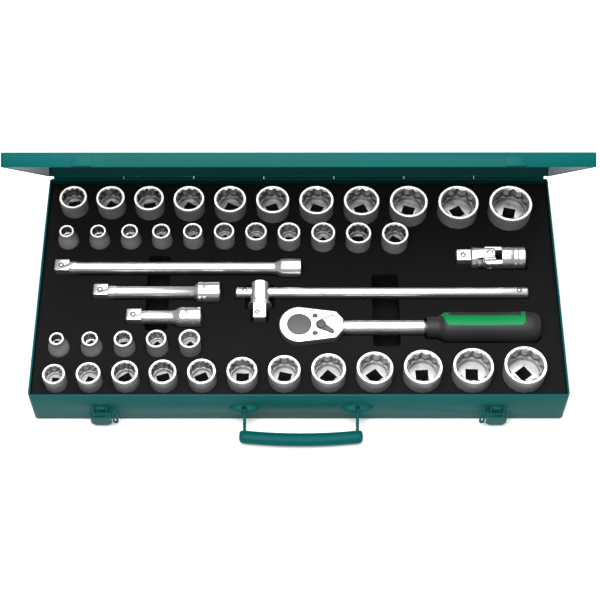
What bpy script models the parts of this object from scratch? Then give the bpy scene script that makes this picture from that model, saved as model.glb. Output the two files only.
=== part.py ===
# Socket wrench set in a hinged sheet-metal case, with every tool resting in its own foam pocket.
# Units are metres, +Z is up, +Y points to the hinge side, and the origin is the middle of the
# tray's underside.
import math

import bmesh
import bpy
from mathutils import Matrix, Vector

CLEARANCE = 0.0003  # gap kept between pieces that touch or fit

# Case
CASE_WIDTH = 0.533
CASE_DEPTH = 0.262
CASE_HEIGHT = 0.050
CORNER_RADIUS = 0.0032
SHEET = 0.0012
HEM_WIDTH = 0.0018
LID_HEM = 0.0016
LID_OVERHANG = 0.0016
LID_HEIGHT = 0.0137
LID_OPEN_DEG = 56.0
HINGE_KNUCKLE_RADIUS = 0.0022
HINGE_PIN_RADIUS = 0.0011
HINGE_LENGTH = 0.525
HINGE_KNUCKLES = 7

# Foam
FOAM_DEPTH_BELOW_RIM = 0.0072
POCKET_GAP = 0.0006
WELL_SIDES = 16

# Sockets
MOUTH_ABOVE_RIM = 0.0108
DRIVE_SQUARE = 0.0127
SOCKET_BASE = 0.0218  # smallest outer diameter at the drive end
SOCKET_WALL_OFFSET = 0.0029  # outer diameter = this + SOCKET_WALL_RATIO * size
SOCKET_WALL_RATIO = 1.24
SHORT_SOCKET = 0.038
LONG_SOCKET = 0.046
BASE_HEIGHT = 0.0220
CONE_TOP = 0.0320
SQUARE_DEPTH = 0.0150
BORE_FLOOR = 0.0190
ROW_LEFT_MARGIN = 0.0142
INCH = 0.0254

# Tools
TOOL_AXIS_ABOVE_FOAM = 0.0022
EXTENSION_PITCH = 0.0297
LONG_EXTENSION_Y = 0.0210
SQUARE_LENGTH = 0.0148
COLLAR_RADIUS = 0.0070
COLLAR_LENGTH = 0.0083
EXTENSIONS = {
    # name: (length, left end x, shaft radius, head radius, head length, taper length)
    "extension_long": (0.255, -0.2526, 0.00635, 0.0100, 0.0205, 0.0080),
    "extension_medium": (0.130, -0.2107, 0.00635, 0.0108, 0.0225, 0.0052),
    "extension_short": (0.076, -0.1752, 0.0070, 0.0106, 0.0215, 0.0077),
}
BAR_LENGTH = 0.300
BAR_RADIUS = 0.0056
BAR_LEFT = -0.0648
BAR_Y = -0.0092
SLIDER_X = -0.0398
SLIDER_RADIUS = 0.0100
SLIDER_BACK = 0.0100
SLIDER_FRONT = 0.0140
SLIDER_FLANGE_RADIUS = 0.0122
SLIDER_FLANGE = 0.0030
SLIDER_TRAVEL = 0.0025
SLIDER_SQUARE = 0.0160

RATCHET_X = 0.0004
RATCHET_Y = -0.0504
HEAD_RADIUS = 0.0204
HEAD_THICKNESS = 0.0180
HEAD_TOP_ABOVE_AXIS = 0.0070
HEAD_SHOULDER_X = 0.0365
HEAD_SHOULDER_HALF = 0.0158
DRIVE_DISC_RADIUS = 0.0118
RATCHET_NECK_X = 0.0440
RATCHET_SHAFT_RADIUS = 0.0075
GRIP_LEFT = 0.1276
GRIP_RIGHT = 0.2443
GRIP_RADIUS = 0.0162
GRIP_TANG_RADIUS = 0.0060
LEVER_X = 0.0222
LEVER_BOSS_RADIUS = 0.0049
LEVER_REACH = 0.0150
LEVER_SWING_DEG = 72.0
RECESS_DEPTH = 0.0030

JOINT_LEFT = 0.1632
JOINT_Y = 0.0332
JOINT_CENTRE = 0.0350  # from the left end to the crossing of the two pins
JOINT_LENGTH = 0.0716
JOINT_RADIUS = 0.0117
JOINT_SLOT = 0.0124
JOINT_ARM = 0.0116
JOINT_PIN_RADIUS = 0.0026
JOINT_SWING_SIDE = 0.04  # sideways play of the free yoke in its pocket, as a slope

# Finger recesses: middle x, width, back y, front y
FINGER_RECESSES = (
    (-0.1449, 0.0236, 0.0374, -0.0528),
    (0.0889, 0.0278, 0.0143, -0.0714),
)
FINGER_DEPTH = 0.026

# Front furniture
LATCH_X = 0.1975
LATCH_WIDTH = 0.0204
LATCH_PIN_Z = 0.0231
LATCH_PIN_OUT = 0.0062
LATCH_PIN_RADIUS = 0.0012
LATCH_PLATE = 0.0013
LEVER_FACE_OUT = 0.0092  # at the lever's lower end
LEVER_TILT = 0.075  # the face leans back towards the wall as it rises
LEVER_LOW_Z = 0.0045
LEVER_GAP = 0.0038  # from the pin down to the lever's upper edge
LEVER_CORNER = 0.0038
LEVER_EAR_UP = 0.0022
LEVER_EAR_DOWN = 0.0072
LEVER_EAR_FRONT = 0.0022
LEVER_EAR_BACK = 0.0024
BRACKET_CHEEK = 0.0022
BRACKET_TOP_Z = 0.0290
BRACKET_TOP_OUT = 0.0048
TONGUE_HALF = 0.0048
TONGUE_OUT = 0.0032
LOOP_WIRE = 0.0009
LOOP_HALF = 0.0028
LOOP_TOP = 0.0024
LOOP_BOTTOM = -0.0105
LOOP_TILT = 0.22
KEEPER_X = 0.1950
KEEPER_HOOK_WIDTH = 0.0175
KEEPER_HOOK = (
    # outline: away from the lid's front wall, above its edge
    (0.0006, 0.0095), (0.0006, 0.0012), (-0.0036, 0.0012),
    (-0.0036, 0.0030), (-0.0014, 0.0040), (-0.0014, 0.0095),
)
HANDLE_X = 0.0022
HANDLE_SPAN = 0.1126
HANDLE_PIVOT_Z = 0.0240
HANDLE_PIVOT_OUT = 0.0030
HANDLE_WIRE_RADIUS = 0.0016
HANDLE_PIN_HALF = 0.0075
HANDLE_REACH = 0.0203
HANDLE_DROP = 0.0168
HANDLE_BOW = 0.0036
GRIP_TUBE = (0.0070, 0.0056)
GRIP_OVERHANG = 0.0055
GRIP_ENDS = ((1.0, 0.50), (0.985, 0.78), (0.955, 0.94), (0.90, 1.0), (0.70, 1.0), (0.45, 1.0), (0.20, 1.0))
SADDLE_WIDTH = 0.030
SADDLE_HEIGHT = 0.0130
SADDLE_PLATE = 0.0009
SADDLE_SLOT = 0.0046

RIM_Z = CASE_HEIGHT
FOAM_Z = CASE_HEIGHT - FOAM_DEPTH_BELOW_RIM
AXIS_Z = FOAM_Z + TOOL_AXIS_ABOVE_FOAM
MOUTH_Z = CASE_HEIGHT + MOUTH_ABOVE_RIM
FRONT_Y = -CASE_DEPTH / 2
HINGE_Y = CASE_DEPTH / 2 + HINGE_KNUCKLE_RADIUS + CLEARANCE
HALF_SQUARE = DRIVE_SQUARE / 2

METRIC_BIG = (21, 22, 23, 24, 25, 26, 27, 28, 30, 32, 34)
METRIC_SMALL = (10, 11, 12, 13, 14, 15, 16, 17, 18, 19, 20)
INCH_SMALL = ((3, 8), (7, 16), (1, 2), (9, 16), (19, 32))
INCH_BIG = (
    (5, 8), (11, 16), (3, 4), (25, 32), (13, 16), (7, 8),
    (15, 16), (1, 1), (17, 16), (9, 8), (19, 16), (5, 4),
)


def metric(sizes):
    return [(f"socket_{size}mm", size * 0.001) for size in sizes]


def inch(sizes):
    return [(f"socket_{top}_{bottom}in", top / bottom * INCH) for top, bottom in sizes]


# A row's sockets line up on one edge: side is +1 for their back edges and -1 for their front ones.
SOCKET_ROWS = (
    # side +1 starts at the back wall, -1 at the front wall; each gap is wider than the last by growth
    {"sockets": metric(METRIC_BIG), "side": 1, "margin": 0.0171, "gap": 0.00972, "growth": 0.000144},
    {"sockets": metric(METRIC_SMALL), "side": 1, "margin": 0.0636, "gap": 0.01094, "growth": 0.0},
    {"sockets": inch(INCH_SMALL), "side": -1, "margin": 0.0479, "gap": 0.0113, "growth": 0.0},
    {"sockets": inch(INCH_BIG), "side": -1, "margin": 0.0076, "gap": 0.01028, "growth": 0.0},
)


# ---- Tools for making shapes ----


def material(name, colour, roughness, metallic):
    made = bpy.data.materials.new(name)
    made.use_nodes = True
    shader = made.node_tree.nodes["Principled BSDF"]
    shader.inputs["Base Color"].default_value = (*colour, 1.0)
    shader.inputs["Roughness"].default_value = roughness
    shader.inputs["Metallic"].default_value = metallic
    made.diffuse_color = (*colour, 1.0)
    return made


def add(name, bm, finish, place=Matrix(), smooth_deg=35.0):
    bmesh.ops.recalc_face_normals(bm, faces=bm.faces)
    mesh = bpy.data.meshes.new(name)
    bm.to_mesh(mesh)
    bm.free()
    mesh.shade_smooth()
    mesh.set_sharp_from_angle(angle=math.radians(smooth_deg))
    if finish:
        mesh.materials.append(finish)
    made = bpy.data.objects.new(name, mesh)
    bpy.context.scene.collection.objects.link(made)
    made.matrix_world = place
    return made


def loft(rings, ring_closed=False):
    """A closed body through rings of equally many points; capped, or closed back on itself."""
    bm = bmesh.new()
    loops = [[bm.verts.new(point) for point in ring] for ring in rings]
    pairs = list(zip(loops, loops[1:]))
    if ring_closed:
        pairs.append((loops[-1], loops[0]))
    count = len(loops[0])
    for low, high in pairs:
        for i in range(count):
            j = (i + 1) % count
            bm.faces.new((low[i], low[j], high[j], high[i]))
    if not ring_closed:
        bm.faces.new(reversed(loops[0]))
        bm.faces.new(loops[-1])
    return bm


def circle(radius, height, sides=24):
    return [
        Vector((radius * math.cos(a), radius * math.sin(a), height))
        for a in (math.tau * i / sides for i in range(sides))
    ]


def square(half, height, sides=24, corner=1.30):
    points = []
    for i in range(sides):
        a = math.tau * i / sides
        flat = max(abs(math.cos(a)), abs(math.sin(a)))
        radius = min(half / flat, half * corner)
        points.append(Vector((radius * math.cos(a), radius * math.sin(a), height)))
    return points


def star(size, height):
    """A twelve-point bore of the given size across flats."""
    outer = size / 2 / math.cos(math.radians(30))
    inner = size / 2 / math.cos(math.radians(15))
    return [
        Vector((r * math.cos(a), r * math.sin(a), height))
        for a, r in (
            (math.tau * i / 24, (outer, inner * 0.985)[i % 2]) for i in range(24)
        )
    ]


def rounded(width, depth, radius, height, steps=3):
    """A rounded rectangle, corner by corner."""
    points = []
    for corner in range(4):
        x = (width / 2 - radius) * (1, -1, -1, 1)[corner]
        y = (depth / 2 - radius) * (1, 1, -1, -1)[corner]
        for step in range(steps + 1):
            a = math.radians(90 * corner + 90 * step / steps)
            points.append(
                Vector((x + radius * math.cos(a), y + radius * math.sin(a), height))
            )
    return points


def box(size, centre):
    bm = bmesh.new()
    place = Matrix.Translation(centre) @ Matrix.Diagonal((*size, 1.0))
    bmesh.ops.create_cube(bm, size=1.0, matrix=place)
    return bm


def rod(radius, start, end, sides=16):
    start, end = Vector(start), Vector(end)
    turn = (end - start).to_track_quat("Z", "Y").to_matrix().to_4x4()
    bm = loft([circle(radius, 0, sides), circle(radius, (end - start).length, sides)])
    bmesh.ops.transform(bm, matrix=Matrix.Translation(start) @ turn, verts=bm.verts)
    return bm


def plate(outline, low, high):
    """An outline in X and Y, as high as from low to high."""
    return loft([[Vector((x, y, z)) for x, y in outline] for z in (low, high)])


def arc(x, y, radius, start_deg, end_deg, steps):
    angles = [start_deg + (end_deg - start_deg) * i / steps for i in range(steps + 1)]
    return [
        (x + radius * math.cos(math.radians(a)), y + radius * math.sin(math.radians(a)))
        for a in angles
    ]


def turned(bm, matrix):
    bmesh.ops.transform(bm, matrix=matrix, verts=bm.verts)
    return bm


def join(parts):
    """One mesh that holds several bodies which don't touch."""
    whole = parts[0]
    for part in parts[1:]:
        carrier = bpy.data.meshes.new("carrier")
        bmesh.ops.recalc_face_normals(part, faces=part.faces)
        part.to_mesh(carrier)
        part.free()
        whole.from_mesh(carrier)
        bpy.data.meshes.remove(carrier)
    return whole


def boolean(target, tool, operation):
    """Cut or join target with a tool that shares its placement."""
    name = f"{target.name}_{operation.lower()}_{len(target.modifiers)}"
    cutter = add(name, tool, None, target.matrix_world.copy())
    cutter.hide_render = True
    cutter.display_type = "WIRE"
    change = target.modifiers.new(name, "BOOLEAN")
    change.operation = operation
    change.solver = "EXACT"
    change.object = cutter


def cut(target, tool):
    boolean(target, tool, "DIFFERENCE")


def unite(target, tool):
    boolean(target, tool, "UNION")


ALONG_X = Matrix.Rotation(math.radians(90), 4, "Y")
ALONG_MINUS_Y = Matrix.Rotation(math.radians(90), 4, "X")


# ---- The pieces ----


def socket_diameter(size):
    return SOCKET_WALL_OFFSET + SOCKET_WALL_RATIO * size


def socket_places():
    """Each socket's name, size, x, y and length, from its row's line, gap and left end."""
    for row in SOCKET_ROWS:
        edge = -CASE_WIDTH / 2 + ROW_LEFT_MARGIN
        for order, (name, size) in enumerate(row["sockets"]):
            seat = max(socket_diameter(size), SOCKET_BASE)
            share = min(max((size - 0.020) / 0.014, 0.0), 1.0)
            length = SHORT_SOCKET + (LONG_SOCKET - SHORT_SOCKET) * share
            y = row["side"] * (CASE_DEPTH / 2 - row["margin"] - seat / 2)
            yield name, size, edge + seat / 2, y, length
            edge += seat + row["gap"] + row["growth"] * order


def make_sockets(chrome):
    for name, size, x, y, length in socket_places():
        radius = socket_diameter(size) / 2
        seat = max(radius, SOCKET_BASE / 2)
        shape = [circle(seat, 0)]
        if seat - radius > 0.0004:
            shape += [circle(seat, BASE_HEIGHT), circle(radius, CONE_TOP)]
        shape += [circle(radius, length), star(size, length), star(size, BORE_FLOOR)]
        shape += [square(HALF_SQUARE, SQUARE_DEPTH), square(HALF_SQUARE, 0)]
        place = Matrix.Translation((x, y, MOUTH_Z - length))
        add(name, loft(shape, ring_closed=True), chrome, place)


def shell(name, finish, width, depth, height, place, hem, foot):
    """A thin box open at the top, with a bevelled foot and a rolled hem of the given width."""

    def ring(inset, z):
        corner = max(CORNER_RADIUS - inset, 0.0005)
        return rounded(width - 2 * inset, depth - 2 * inset, corner, z)

    rings = [
        ring(foot, 0),
        ring(0, foot),
        ring(0, height),
        ring(hem, height),
        ring(hem, height - hem),
        ring(SHEET, height - hem - 0.0010),
        ring(SHEET, SHEET),
    ]
    return add(name, loft(rings), finish, place)


def make_hinge(target, centre, leaf_low, leaf_high, first):
    """Every other knuckle of the hinge, each on a leaf of the wall, with one bore through all."""
    pitch = HINGE_LENGTH / HINGE_KNUCKLES
    reach = HINGE_KNUCKLE_RADIUS + CLEARANCE
    for index in range(first, HINGE_KNUCKLES, 2):
        left = index * pitch - HINGE_LENGTH / 2 + CLEARANCE
        right = left + pitch - 2 * CLEARANCE
        start = centre + Vector((left, 0, 0))
        unite(target, rod(HINGE_KNUCKLE_RADIUS, start, start + Vector((right - left, 0, 0)), 12))
        leaf = box(
            (right - left - CLEARANCE, reach + 0.6 * SHEET, leaf_high - leaf_low),
            centre + Vector(((left + right) / 2, -(reach + 0.6 * SHEET) / 2, (leaf_low + leaf_high) / 2)),
        )
        unite(target, leaf)
    half = Vector((HINGE_LENGTH / 2 + SHEET, 0, 0))
    cut(target, rod(HINGE_PIN_RADIUS + CLEARANCE, centre - half, centre + half, 12))


def make_latch_bracket(tray, side):
    """Two welded cheeks that carry the latch's cross pin, and a tongue behind the pin."""
    x = side * LATCH_X
    sunk = SHEET / 2
    cheek_x = LATCH_WIDTH / 2 - 2.5 * LATCH_PLATE - 2 * CLEARANCE
    blocks = [(0, 2 * TONGUE_HALF, TONGUE_OUT, LATCH_PIN_Z - BRACKET_CHEEK, BRACKET_TOP_Z - LATCH_PLATE)]
    for cheek in (-cheek_x, cheek_x):
        low, high = LATCH_PIN_Z - BRACKET_CHEEK, LATCH_PIN_Z + BRACKET_CHEEK
        blocks.append((cheek, LATCH_PLATE, LATCH_PIN_OUT + BRACKET_CHEEK, low, high))
        blocks.append((cheek, LATCH_PLATE, BRACKET_TOP_OUT, LATCH_PIN_Z, BRACKET_TOP_Z))
    for offset, width, out, low, high in blocks:
        centre = (x + offset, FRONT_Y + (sunk - out) / 2, (low + high) / 2)
        unite(tray, box((width, out + sunk, high - low), centre))
    pin = (x - LATCH_WIDTH, FRONT_Y - LATCH_PIN_OUT, LATCH_PIN_Z)
    end = (x + LATCH_WIDTH, FRONT_Y - LATCH_PIN_OUT, LATCH_PIN_Z)
    cut(tray, rod(LATCH_PIN_RADIUS + CLEARANCE, pin, end, 12))


def make_handle_bracket(tray, side):
    """A welded saddle: a smooth hump over the wire's cross pin, slotted for the leg."""
    x = HANDLE_X + side * HANDLE_SPAN / 2
    sunk = SHEET / 2
    out = HANDLE_PIVOT_OUT + HANDLE_WIRE_RADIUS + CLEARANCE + SADDLE_PLATE
    rings = []
    for u in (-1, -0.93, -0.80, -0.60, -0.30, 0.30, 0.60, 0.80, 0.93, 1):
        k = math.sqrt(max(1 - abs(u) ** 3, 0.02))
        half = SADDLE_HEIGHT / 2 * (0.45 + 0.55 * k)
        profile = [
            (sunk, -half), (-0.75 * out * k, -0.80 * half), (-out * k, -0.35 * half),
            (-out * k, 0.35 * half), (-0.75 * out * k, 0.80 * half), (sunk, half),
        ]
        middle = x + u * SADDLE_WIDTH / 2
        rings.append([Vector((middle, FRONT_Y + y, HANDLE_PIVOT_Z + z)) for y, z in profile])
    unite(tray, loft(rings))
    slot = (SADDLE_SLOT, 2 * out, 2 * SADDLE_HEIGHT)
    cut(tray, box(slot, (x, FRONT_Y - CLEARANCE - out, HANDLE_PIVOT_Z)))
    axis = (FRONT_Y - HANDLE_PIVOT_OUT, HANDLE_PIVOT_Z)
    half = HANDLE_PIN_HALF + CLEARANCE
    cut(tray, rod(HANDLE_WIRE_RADIUS + CLEARANCE, (x - half, *axis), (x + half, *axis), 12))


def make_case(paint, steel):
    tray = shell("case_tray", paint, CASE_WIDTH, CASE_DEPTH, CASE_HEIGHT, Matrix(), HEM_WIDTH, 0.0010)
    hinge = Vector((0, HINGE_Y, RIM_Z))
    make_hinge(tray, hinge, -0.0062, -0.0004, 0)
    for side in (-1, 1):
        make_latch_bracket(tray, side)
        make_handle_bracket(tray, side)

    # The lid is a tray upside down, made closed in the frame of the hinge axis and then swung open.
    swing = Matrix.Translation(hinge) @ Matrix.Rotation(math.radians(-LID_OPEN_DEG), 4, "X")
    width = CASE_WIDTH + 2 * LID_OVERHANG
    depth = CASE_DEPTH + LID_OVERHANG
    middle_y = -HINGE_Y + (CASE_DEPTH / 2 - depth / 2)
    upside_down = Matrix.Translation((0, middle_y, LID_HEIGHT)) @ Matrix.Rotation(math.pi, 4, "X")
    lid = shell("case_lid", paint, width, depth, LID_HEIGHT - CLEARANCE, swing, LID_HEM, 0.0010)
    lid.data.transform(upside_down)
    make_hinge(lid, Vector((0, 0, 0)), 0.0004, 0.0062, 1)
    front = middle_y - depth / 2
    for side in (-1, 1):
        ends = [side * KEEPER_X + end * KEEPER_HOOK_WIDTH / 2 for end in (-1, 1)]
        rings = [[Vector((x, front + y, z)) for y, z in KEEPER_HOOK] for x in ends]
        unite(lid, loft(rings))

    half = HINGE_LENGTH / 2
    add(
        "hinge_pin",
        rod(HINGE_PIN_RADIUS, (-half, HINGE_Y, RIM_Z), (half, HINGE_Y, RIM_Z), 12),
        steel,
    )


def make_latch(side, paint):
    """The lever plate with its ears, and the wire link that is its cross pin and loop."""
    pin = Matrix.Translation((side * LATCH_X, FRONT_Y - LATCH_PIN_OUT, LATCH_PIN_Z))
    tag = "left" if side < 0 else "right"
    face_y = LATCH_PIN_OUT - LEVER_FACE_OUT
    low = LEVER_LOW_Z - LATCH_PIN_Z
    half = LATCH_WIDTH / 2
    face = [
        (-half, -LEVER_GAP), (-half, low + LEVER_CORNER), (LEVER_CORNER - half, low),
        (half - LEVER_CORNER, low), (half, low + LEVER_CORNER), (half, -LEVER_GAP),
    ]
    rings = [
        [Vector((x, y + LEVER_TILT * (z - low), z)) for x, z in face] for y in (face_y, face_y + LATCH_PLATE)
    ]
    lever = add(f"latch_lever_{tag}", loft(rings), paint, pin)
    ear = (LATCH_PLATE, LEVER_EAR_BACK + LEVER_EAR_FRONT, LEVER_EAR_UP + LEVER_EAR_DOWN)
    ear_y = (LEVER_EAR_BACK - LEVER_EAR_FRONT) / 2
    for x in (LATCH_PLATE / 2 - half, half - LATCH_PLATE / 2):
        unite(lever, box(ear, (x, ear_y, (LEVER_EAR_UP - LEVER_EAR_DOWN) / 2)))
    cut(lever, rod(LATCH_PIN_RADIUS + CLEARANCE, (-half * 2, 0, 0), (half * 2, 0, 0), 12))

    inward = -side
    reach = half + 0.0014
    link = add(
        f"latch_link_{tag}",
        rod(LATCH_PIN_RADIUS, (-inward * reach, 0, 0), (inward * (reach + LOOP_WIRE), 0, 0), 12),
        paint,
        pin,
    )
    centre = inward * (reach + LOOP_HALF)
    rings = []
    for radius, y in (
        (LOOP_HALF, -LOOP_WIRE), (LOOP_HALF, LOOP_WIRE),
        (LOOP_HALF - 2 * LOOP_WIRE, LOOP_WIRE), (LOOP_HALF - 2 * LOOP_WIRE, -LOOP_WIRE),
    ):
        outline = arc(0, LOOP_TOP, radius, 0, 180, 6) + arc(0, LOOP_BOTTOM, radius, 180, 360, 6)
        rings.append([Vector((centre + x, y + LOOP_TILT * z, z)) for x, z in outline])
    unite(link, loft(rings, ring_closed=True))


def make_handle(paint):
    """A wire bail with a bowed oval grip, leaning forward until the grip meets the ground."""
    pivot = Matrix.Translation((HANDLE_X, FRONT_Y - HANDLE_PIVOT_OUT, HANDLE_PIVOT_Z))
    half = HANDLE_SPAN / 2
    wire = HANDLE_WIRE_RADIUS
    width, height = GRIP_TUBE
    stations = [(-u, swell) for u, swell in GRIP_ENDS] + [(u, swell) for u, swell in reversed(GRIP_ENDS)]
    rings = []
    for u, swell in stations:
        x = u * (half + GRIP_OVERHANG)
        y = -HANDLE_REACH - HANDLE_BOW * (1 - u * u)
        rings.append(
            [
                Vector((x, y + width * swell * math.cos(a), height * swell * math.sin(a) - HANDLE_DROP))
                for a in (math.tau * k / 12 for k in range(12))
            ]
        )
    handle = add("carry_handle", loft(rings), paint, pivot)
    for x in (-half, half):
        unite(handle, rod(wire, (x, 0, 0), (x, -HANDLE_REACH, -HANDLE_DROP), 10))
        unite(handle, rod(wire, (x - HANDLE_PIN_HALF, 0, 0), (x + HANDLE_PIN_HALF, 0, 0), 10))


def make_extensions(chrome):
    for order, (name, values) in enumerate(EXTENSIONS.items()):
        length, left, shaft, head, head_length, taper = values
        start = length - head_length
        rings = [
            square(HALF_SQUARE * 0.86, 0, 16),
            square(HALF_SQUARE, 0.0010, 16),
            square(HALF_SQUARE, SQUARE_LENGTH - 0.0006, 16),
            circle(COLLAR_RADIUS, SQUARE_LENGTH + 0.0006, 16),
            circle(COLLAR_RADIUS, SQUARE_LENGTH + COLLAR_LENGTH, 16),
            circle(shaft, SQUARE_LENGTH + COLLAR_LENGTH + 0.0006, 16),
            circle(shaft, start - taper, 16),
            circle(head, start, 16),
            circle(head, length, 16),
            square(HALF_SQUARE + POCKET_GAP / 3, length, 16, 1.25),
            square(HALF_SQUARE + POCKET_GAP / 3, length - SQUARE_LENGTH - 0.001, 16, 1.25),
        ]
        y = LONG_EXTENSION_Y - order * EXTENSION_PITCH
        place = Matrix.Translation((left, y, AXIS_Z)) @ ALONG_X
        add(name, loft(rings), chrome, place)


def make_t_handle(chrome):
    rings = [
        circle(BAR_RADIUS * 0.7, 0, 16),
        circle(BAR_RADIUS, 0.0020, 16),
        circle(BAR_RADIUS, BAR_LENGTH - 0.0020, 16),
        circle(BAR_RADIUS * 0.7, BAR_LENGTH, 16),
    ]
    add("t_handle_bar", loft(rings), chrome, Matrix.Translation((BAR_LEFT, BAR_Y, AXIS_Z)) @ ALONG_X)
    front = SLIDER_BACK + SLIDER_FRONT
    rings = [
        circle(SLIDER_RADIUS - 0.0008, 0, 16),
        circle(SLIDER_RADIUS, 0.0008, 16),
        circle(SLIDER_RADIUS, front, 16),
        circle(SLIDER_FLANGE_RADIUS, front + 0.0006, 16),
        circle(SLIDER_FLANGE_RADIUS, front + SLIDER_FLANGE, 16),
        square(HALF_SQUARE, front + SLIDER_FLANGE + 0.0006, 16),
        square(HALF_SQUARE, front + SLIDER_FLANGE + SLIDER_SQUARE - 0.0010, 16),
        square(HALF_SQUARE * 0.86, front + SLIDER_FLANGE + SLIDER_SQUARE, 16),
    ]
    place = Matrix.Translation((SLIDER_X, BAR_Y + SLIDER_BACK, AXIS_Z)) @ ALONG_MINUS_Y
    slider = add("t_handle_slider", loft(rings), chrome, place)
    bore = rod(BAR_RADIUS + CLEARANCE, (-0.03, 0, SLIDER_BACK), (0.03, 0, SLIDER_BACK), 16)
    cut(slider, bore)


def ratchet_outline(grow=0.0):
    """The head's pear shape: a round nose, straight cheeks and shoulders that close on the shaft."""
    shoulder = HEAD_SHOULDER_HALF + grow
    neck = RATCHET_SHAFT_RADIUS * 0.85 + grow
    nose = arc(0, 0, HEAD_RADIUS + grow, 80, 280, 16)
    return nose + [
        (HEAD_SHOULDER_X, -shoulder),
        (RATCHET_NECK_X + 0.002, -neck),
        (RATCHET_NECK_X + 0.002, neck),
        (HEAD_SHOULDER_X, shoulder),
    ]


def make_ratchet(chrome, rubber, dark):
    place = Matrix.Translation((RATCHET_X, RATCHET_Y, AXIS_Z))
    top = HEAD_TOP_ABOVE_AXIS
    bottom = top - HEAD_THICKNESS
    body = add("ratchet_body", plate(ratchet_outline(), bottom, top), chrome, place)
    grip_start = GRIP_LEFT - RATCHET_X
    grip_end = GRIP_RIGHT - RATCHET_X
    rings = [
        circle(RATCHET_SHAFT_RADIUS * 0.9, 0.036, 16),
        circle(RATCHET_SHAFT_RADIUS, 0.052, 16),
        circle(RATCHET_SHAFT_RADIUS, grip_start - 0.0005, 16),
        circle(GRIP_TANG_RADIUS, grip_start + 0.0005, 16),
        circle(GRIP_TANG_RADIUS, grip_end - 0.010, 16),
    ]
    unite(body, turned(loft(rings), ALONG_X))
    cut(body, rod(DRIVE_DISC_RADIUS + CLEARANCE, (0, 0, bottom - 0.01), (0, 0, top + 0.01), 24))
    fan = arc(LEVER_X, 0, LEVER_BOSS_RADIUS + 0.0006, 110, 250, 6)
    fan += arc(LEVER_X, 0, LEVER_REACH + 0.0012, -44, 44, 8)
    cut(body, plate(fan, top - RECESS_DEPTH, top + 0.005))

    lever_place = place @ Matrix.Translation((LEVER_X, 0, 0)) @ Matrix.Rotation(
        math.radians(-LEVER_SWING_DEG / 2), 4, "Z"
    )
    arm = 0.0022
    turn = math.degrees(math.asin(arm / LEVER_BOSS_RADIUS))
    outline = arc(0, 0, LEVER_BOSS_RADIUS, turn, 360 - turn, 14)
    outline += [(LEVER_REACH, -arm), (LEVER_REACH, arm)]
    add("ratchet_lever", plate(outline, top - RECESS_DEPTH + CLEARANCE, top + 0.0016), dark, lever_place)

    rings = [
        square(HALF_SQUARE * 0.86, bottom - SQUARE_LENGTH - 0.001),
        square(HALF_SQUARE, bottom - SQUARE_LENGTH),
        square(HALF_SQUARE, bottom + 0.0010),
        circle(DRIVE_DISC_RADIUS, bottom + 0.0020),
        circle(DRIVE_DISC_RADIUS, top + 0.0004),
    ]
    add("ratchet_drive", loft(rings), dark, place)

    length = grip_end - grip_start
    bore = GRIP_TANG_RADIUS + CLEARANCE
    rings = [
        circle(bore, CLEARANCE * 3, 24),
        circle(GRIP_RADIUS * 0.66, CLEARANCE * 3, 24),
        circle(GRIP_RADIUS * 0.68, 0.012, 24),
        circle(GRIP_RADIUS * 0.97, 0.021, 24),
        circle(GRIP_RADIUS * 0.92, length * 0.45, 24),
        circle(GRIP_RADIUS, length - 0.012, 24),
        circle(GRIP_RADIUS * 0.90, length - 0.004, 24),
        circle(GRIP_RADIUS * 0.60, length, 24),
    ]
    grip = add(
        "ratchet_grip", loft([circle(bore, length - 0.009, 24)] + rings), rubber,
        place @ Matrix.Translation((grip_start, 0, 0)) @ ALONG_X,
    )
    return grip


def joint_yoke(name, rings, arms_from, arms_to, across, chrome, place):
    """A hub along X whose far part is narrowed to two arms; across is the pin's direction."""
    yoke = add(name, turned(loft(rings), ALONG_X), chrome, place)
    middle = (arms_from + arms_to) / 2
    span = arms_to - arms_from + 0.004
    big = 2.5 * JOINT_RADIUS
    shift = 0.002 if arms_to > arms_from and middle > 0 else 0.0
    slot = (span, big, JOINT_SLOT) if across == "Z" else (span, JOINT_SLOT, big)
    cut(yoke, box(slot, (middle + shift, 0, 0)))
    for side in (-1, 1):
        offset = side * (JOINT_ARM / 2 + big / 2)
        trim = (span, big, 2 * big) if across == "Z" else (span, 2 * big, big)
        centre = (middle + shift, offset, 0) if across == "Z" else (middle + shift, 0, offset)
        cut(yoke, box(trim, centre))
    axis = Vector((0, 0, 0.03)) if across == "Z" else Vector((0, 0.03, 0))
    cut(yoke, rod(JOINT_PIN_RADIUS + CLEARANCE, -axis, axis, 12))
    return yoke


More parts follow.
